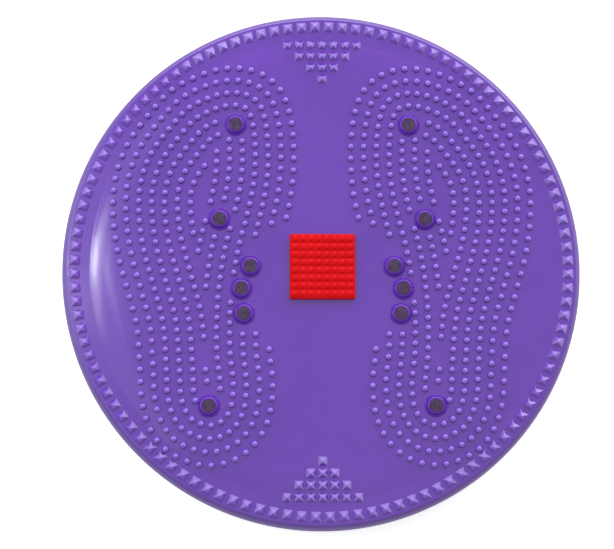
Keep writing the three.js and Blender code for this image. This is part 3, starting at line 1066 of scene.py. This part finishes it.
def base_section():
    edge = 0.8 * MM
    inner, outer = race_radius - race_half, race_radius + race_half
    step_depth = 0.5 * MM
    channel_top = ball_level - groove_radius - channel_wall
    return np.vstack([
        [[0, cup_ceiling], [cup_radius, cup_ceiling]],
        arc(cup_radius + edge, foot_stand + edge, edge, edge, 180, 270, 4),
        [[tray_inner, foot_stand], [tray_inner + tray_slope, foot_stand + step_depth]],
        [[tray_outer, foot_stand + step_depth], [tray_outer + tray_slope, foot_stand]],
        [[inner + channel_wall, foot_stand], [inner + channel_wall, channel_top]],
        [[outer - channel_wall, channel_top], [outer - channel_wall, foot_stand]],
        arc(base_radius - edge, foot_stand + edge, edge, edge, 270, 360, 5),
        arc(base_radius - edge, base_rim - edge, edge, edge, 0, 90, 4),
        [[base_radius - base_wall, base_rim], [base_radius - base_wall, base_top]],
        [[outer, base_top], [outer, ball_level - land_gap]],
        groove(-1),
        [[inner, ball_level - land_gap], [inner, base_top]],
        [[cup_radius + cup_wall, base_top], [cup_radius + cup_wall, hub_level]],
        [[0, hub_level]],
    ])


moulded_base = turned("moulded_base", base_section(), disc_steps)
rib_top = base_top + rib_depth
carve(
    moulded_base,
    joined("base_ribs", [
        *spokes(rib_count, cup_radius + sunk, race_radius - race_half + sunk, rib_thickness,
                base_top - sunk, rib_top),
        *spokes(rib_count, race_radius + race_half - sunk, base_radius - base_wall / 2,
                rib_thickness, base_top - sunk, rib_top),
        *spokes(brace_count, race_radius - brace_half, race_radius + brace_half,
                brace_thickness, brace_low, brace_high),
    ]),
    "UNION",
)
carve(
    moulded_base,
    joined("base_cuts", [
        post(bolt_hole, cup_ceiling - MM, hub_level + MM, seat_steps),
        *[post(pad_radius + loose_fit, foot_stand - MM, foot_stand + MM, seat_steps, x, y)
          for x, y in pad_places.values()],
    ]),
    "DIFFERENCE",
)
finish_piece(moulded_base, base_finish, "base", "black_plastic", "base_plate")

# %% [markdown]
# ## Rubber feet
# Each foot is a turned pad with a rounded edge and three fine grooves in its sole.

# %% Rubber feet
pad_grooves = np.array([3, 5.5, 8]) * MM
pad_groove_half, pad_groove_depth = 0.5 * MM, 0.4 * MM
pad_steps = 72
pad_sharp = 50


def pad_section():
    edge, top_edge = 1.2 * MM, 0.2 * MM
    sole = [
        point
        for middle in pad_grooves
        for point in arc(middle, 0, pad_groove_half, pad_groove_depth, 180, 0, 5)
    ]
    top = box("rubber_foot_1")[1][2]
    return [
        [0, 0], *sole, *arc(pad_radius - edge, edge, edge, edge, 270, 360, 6),
        [pad_radius, top - top_edge], [pad_radius - top_edge, top], [0, top],
    ]


for name, (x, y) in pad_places.items():
    pad = turned(f"{name}_pad", pad_section(), pad_steps, (x, y, 0), sharp=pad_sharp)
    finish_piece(pad, rubber_finish, "base", "black_rubber", name)

# %% [markdown]
# ## Ball race
# Twenty-four balls ride in a nylon cage between the two grooves. They are hidden, but the
# disc turns on them, so they get their true round shape too.

# %% Balls and cage
ball_steps = 48
ball_sharp = 60
ball_section = arc(0, ball_level, ball_radius, ball_radius, -90, 90, ball_steps // 2 + 1)
ball_section[[0, -1], 0] = 0
ball_places = middles(sorted(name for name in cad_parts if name.startswith("bearing_ball_")))
for name, (x, y) in ball_places.items():
    ball = turned(f"{name}_sphere", ball_section, ball_steps, (x, y, 0), sharp=ball_sharp)
    finish_piece(ball, ball_finish, name.replace("bearing_", ""), "ball_steel", name)

cage_half = 1.2 * MM
cage_reach = race_half - MM
cage_edge = 0.4 * MM
cage_steps = 288
cage_hole_steps = 40
cage_section = np.vstack([
    arc(race_radius + out * (cage_reach - cage_edge), ball_level + up * (cage_half - cage_edge),
        cage_edge, cage_edge, start, start + 90, 4)
    for out, up, start in ((1, -1, 270), (1, 1, 0), (-1, 1, 90), (-1, -1, 180))
])
cage = turned("nylon_cage", cage_section, cage_steps, loop=True)
carve(
    cage,
    joined("cage_holes", [
        post(groove_radius, ball_level - ball_radius, ball_level + ball_radius,
             cage_hole_steps, x, y)
        for x, y in ball_places.values()
    ]),
    "DIFFERENCE",
)
finish_piece(cage, nylon_finish, "cage", "cage_plastic", "ball_cage")

# %% [markdown]
# ## Pivot
# The head of the bolt and the nut are hexagons trimmed by a cone: at each level the radius is
# the smaller of the hexagon's and the cone's. The bolt's thread is one helix, and the washers
# and the sleeve are turned rings.

# %% Bolt, nut, sleeve and washers
hex_flat = 6.5 * MM
bolt_low, bolt_high = (corner[2] for corner in box("pivot_bolt"))
washer_low = box("bottom_washer")[0][2]
nut_low, nut_high = (corner[2] for corner in box("lock_nut"))
hex_steps = 120


def hexagon():
    """Distance from the middle to a hexagon's side at each step, its corners on +Y and -Y."""
    turn = np.linspace(0, 2 * np.pi, hex_steps, endpoint=False)
    return hex_flat / np.cos((turn + np.pi / 6) % (np.pi / 3) - np.pi / 6)


def trimmed(limits):
    """The hexagon at each level, no wider than that level's limit."""
    return np.minimum(hexagon()[None, :], np.asarray(limits)[:, None])


hex_corner = hex_flat / math.cos(math.pi / 6)
cone_start = hex_flat * 0.93
cone_depth = 0.8 * MM
cone_share = np.linspace(0, 1, 6)
cone_radii = cone_start + (hex_corner - cone_start) * cone_share


def pivot_bolt():
    """Head, then a shank whose upper part carries the thread.

    The thread's depth is a triangle wave of height over pitch less the turn: one helix."""
    pitch, depth, run_in = 1.25 * MM, 0.5 * MM, 0.1 * MM
    end_edge, end_taper = 0.4 * MM, 0.6 * MM
    levels = np.linspace(nut_low - 4 * pitch, bolt_high - end_edge, 90)
    turn = np.linspace(0, 1, hex_steps, endpoint=False)[None, :]
    wave = np.abs(((levels[:, None] / pitch - turn) % 1) * 2 - 1)
    fade = np.clip((levels[:, None] - levels[0]) / pitch, 0, 1)
    thread = bolt_radius - depth * wave * fade
    head = trimmed([*cone_radii, hex_corner, hex_flat * 0.97])
    middle, bolt = np.zeros((1, hex_steps)), np.full((1, hex_steps), bolt_radius)
    radius = np.vstack([middle, head, bolt, bolt, thread, bolt - end_taper, middle])
    height = np.concatenate([
        [bolt_low], bolt_low + cone_depth * cone_share, [washer_low, washer_low],
        [washer_low, levels[0] - run_in], levels, [bolt_high, bolt_high],
    ])
    return new_piece("hex_bolt", turn_grid(radius, height, hex_steps),
                     grid_quads(len(height), hex_steps))


def lock_nut():
    """A hexagon with both rims trimmed, round a plain hole."""
    edge = 0.4 * MM
    outer = trimmed([*cone_radii, *cone_radii[::-1]])
    inner = np.full((4, hex_steps), bolt_hole) + np.array([[1], [0], [0], [1]]) * edge
    height = np.concatenate([
        nut_low + cone_depth * cone_share, nut_high - cone_depth * cone_share[::-1],
        [nut_high, nut_high - edge, nut_low + edge, nut_low],
    ])
    return new_piece("hex_nut", turn_grid(np.vstack([outer, inner]), height, hex_steps),
                     grid_quads(len(height), hex_steps, loop=True))


def steel_ring(name, node, outer, edge):
    """A turned ring with small chamfers, between a node's lowest and highest point."""
    low, high = (corner[2] for corner in box(node))
    section = [
        [bolt_hole, low], [outer - edge, low], [outer, low + edge], [outer, high - edge],
        [outer - edge, high], [bolt_hole, high],
    ]
    ring = turned(name, section, ring_steps, loop=True)
    return finish_piece(ring, zinc_finish, "base", "zinc_steel", node)


finish_piece(pivot_bolt(), zinc_finish, "base", "zinc_steel", "pivot_bolt")
finish_piece(lock_nut(), zinc_finish, "base", "zinc_steel", "lock_nut")
steel_ring("steel_sleeve", "pivot_sleeve", 6 * MM, 0.3 * MM)
steel_ring("lower_washer", "bottom_washer", 10 * MM, 0.2 * MM)
steel_ring("upper_washer", "top_washer", 12 * MM, 0.2 * MM)

# %% [markdown]
# ## Floor and light
# The photograph is a studio picture on pure white, lit softly from beyond the toes. Small
# lamps at the left stand in for a window: their reflections on the shoulder are the long
# highlight, the fainter glow beside it and its small bright spark. The floor is matte white.
# A little light of its own, which only the camera, mirrors and clear pieces see, keeps it
# white without washing out the shadow that holds the disc down.

# %% Floor and light
def stage_floor():
    """A matte floor, with a little light of its own that only the seen rays meet."""
    reach = 3.0
    corners = np.array([[-1, -1, 0], [1, -1, 0], [1, 1, 0], [-1, 1, 0]]) * reach
    floor = new_piece("floor", corners, np.array([[0, 1, 2, 3]]))
    finish = Finish("floor_white", roughness=0.95, specular_ior_level=0.1)
    finish.give(
        base_color=(0.84, 0.84, 0.85, 1),
        emission_color=finish.mixed(finish.seen(), (0, 0, 0, 1), (0.6, 0.6, 0.6, 1)),
        emission_strength=1.0,
    )
    floor.data.materials.append(finish.material)


def soft_world():
    """An even pale sky that lights the disc, and plain white where it is seen."""
    world = bpy.data.worlds.new("soft_world")
    world.use_nodes = True
    bpy.context.scene.world = world
    sky = Nodes(world.node_tree)
    light, white = (
        sky.node("Background", {}, {"Color": (1, 1, 1, 1), "Strength": strength})
        for strength in (0.55, 1)
    )
    chosen = sky.node("MixShader", {}, {0: sky.seen(), 1: light, 2: white})
    sky.feed(sky.tree.nodes["World Output"].inputs["Surface"], chosen)


def lamp(name, place, target, width, height, watts, colour=(1, 1, 1), shape="RECTANGLE"):
    """A soft lamp that faces a point of the disc, its width level."""
    data = bpy.data.lights.new(name, "AREA")
    data.color = colour
    data.shape = shape
    data.size, data.size_y = width, height
    data.energy = watts
    made = bpy.data.objects.new(name, data)
    made.location = place
    aim = np.array(target) - np.array(place)
    made.rotation_euler = Vector(aim).to_track_quat("-Z", "Y").to_euler()
    bpy.context.scene.collection.objects.link(made)


disc_middle = (0, 0, 0.03)
left_shoulder = (-0.13, 0, 0.03)
pale_blue, paler_blue = (0.75, 0.85, 1), (0.8, 0.88, 1)

stage_floor()
soft_world()
lamp("main_light", (0.3, 1.62, 0.8), disc_middle, 3.2, 1.7, 56)
lamp("right_panel", (1.9, 0.6, 0.34), disc_middle, 2.4, 0.7, 14)
lamp("left_panel", (-1.7, 0.3, 0.32), disc_middle, 1.6, 0.6, 6)
lamp("left_fill", (-0.68, 0.1, 0.5), left_shoulder, 0.5, 0.5, 1.9, pale_blue)
lamp("left_window", (-0.63, 0.185, 1.27), left_shoulder, 0.13, 0.08, 0.4, shape="ELLIPSE")
lamp("left_pane", (-0.6, 0.155, 1.28), left_shoulder, 0.38, 0.17, 0.38, shape="ELLIPSE")
lamp("left_glow", (-0.41, 0.146, 1.28), left_shoulder, 0.075, 0.28, 0.088, shape="ELLIPSE")
lamp("left_spark", (-0.41, 0.146, 1.27), left_shoulder, 0.035, 0.045, 0.02, shape="ELLIPSE")
lamp("left_sky", (-0.52, 0.05, 1.3), left_shoulder, 1.2, 0.5, 0.7, paler_blue, "ELLIPSE")

# %% [markdown]
# ## Settings
# The Standard view shows each colour as it was worked out, without a film look.

# %% Settings
bpy.context.scene.view_settings.view_transform = "Standard"
